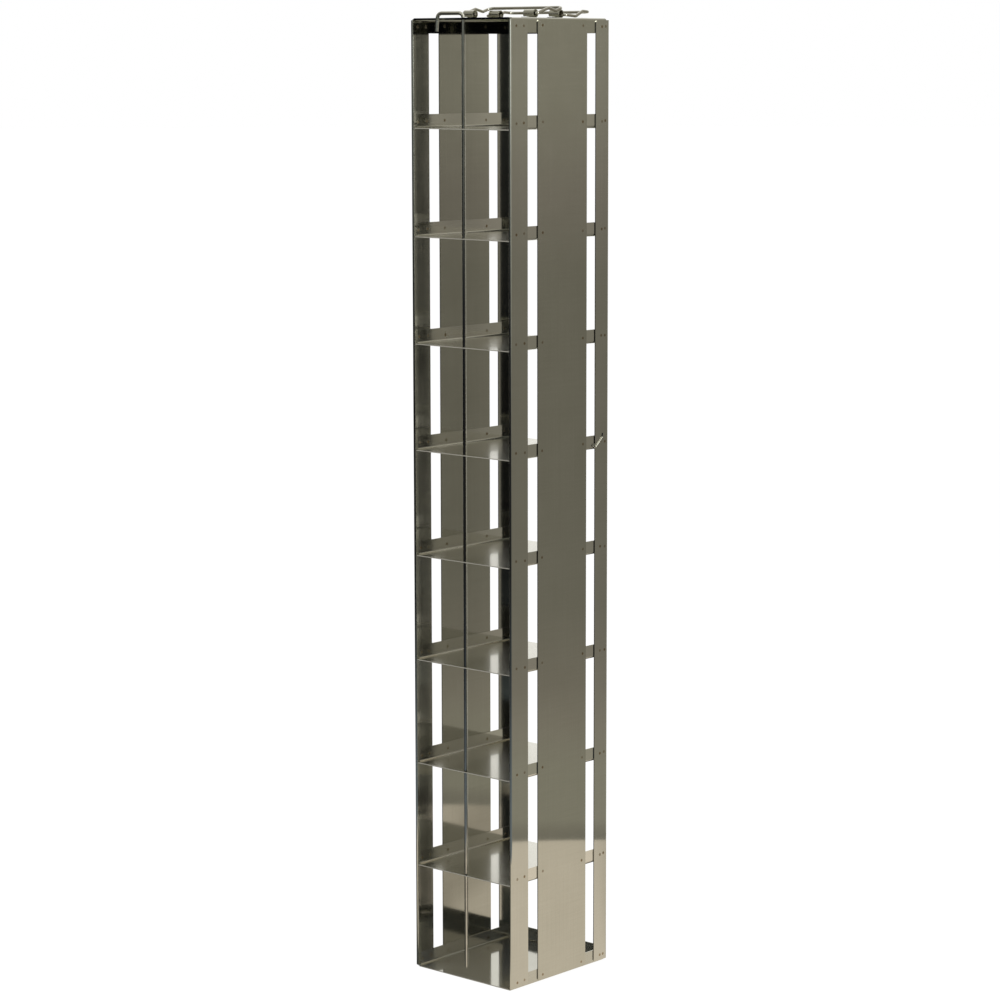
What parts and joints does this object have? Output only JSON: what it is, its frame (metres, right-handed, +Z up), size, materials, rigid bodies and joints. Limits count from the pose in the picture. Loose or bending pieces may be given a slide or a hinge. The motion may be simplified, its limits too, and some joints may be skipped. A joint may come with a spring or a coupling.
{
  "type": "vertical freezer rack",
  "caption": "Tall open-front stainless rack that holds square sample boxes one above another in a freezer, with a drop-in lock rod and folding wire carrying bails.",
  "frame": {"origin": "middle of the rack's footprint, on the surface that it stands on", "axes": "+Z up; +Y from the open front to the back; +X to the right of somebody who faces the open front"},
  "size_m": [0.1412, 0.1627, 1.0396],
  "materials": {
    "pan_sheet": "cold-rolled stainless, fine grain, with weld spots",
    "shelf_sheet": "cold-rolled stainless, fine grain",
    "wall_sheet": "cold-rolled stainless, grain along the height",
    "clip_strap": "bright stainless strap",
    "rod_wire": "bright drawn stainless wire",
    "bail_wire": "bright drawn stainless wire",
    "hook_wire": "drawn stainless wire"
  },
  "bodies": {
    "frame": {"bottom_pan": "pan_sheet", "clip_front_left": "clip_strap", "clip_front_right": "clip_strap", "clip_rear_left": "clip_strap", "clip_rear_right": "clip_strap", "front_strip_left": "wall_sheet", "front_strip_right": "wall_sheet", "rear_angle_left": "wall_sheet", "rear_angle_right": "wall_sheet", "shelf_1": "shelf_sheet", "shelf_2": "shelf_sheet", "shelf_3": "shelf_sheet", "shelf_4": "shelf_sheet", "shelf_5": "shelf_sheet", "shelf_6": "shelf_sheet", "shelf_7": "shelf_sheet", "shelf_8": "shelf_sheet", "side_panel_left": "wall_sheet", "side_panel_right": "wall_sheet", "side_wire_hook": "hook_wire", "top_pan": "pan_sheet"},
    "lock_rod": {"lock_rod": "rod_wire"},
    "front_bail": {"front_bail": "bail_wire"},
    "rear_bail": {"rear_bail": "bail_wire"}
  },
  "joints": [
    {"name": "lock_rod_lift", "type": "slide", "parent": "frame", "child": "lock_rod", "axis": [0, 0, 1], "range_m": [0, 1.035]},
    {"name": "front_bail_swing", "type": "hinge", "parent": "frame", "child": "front_bail", "pos_m": [0, -0.016, 1.0317], "axis": [1, 0, 0], "range_deg": [0, 170.5]},
    {"name": "rear_bail_swing", "type": "hinge", "parent": "frame", "child": "rear_bail", "pos_m": [0, 0.0246, 1.0303], "axis": [1, 0, 0], "range_deg": [0, 163.5]}
  ]
}
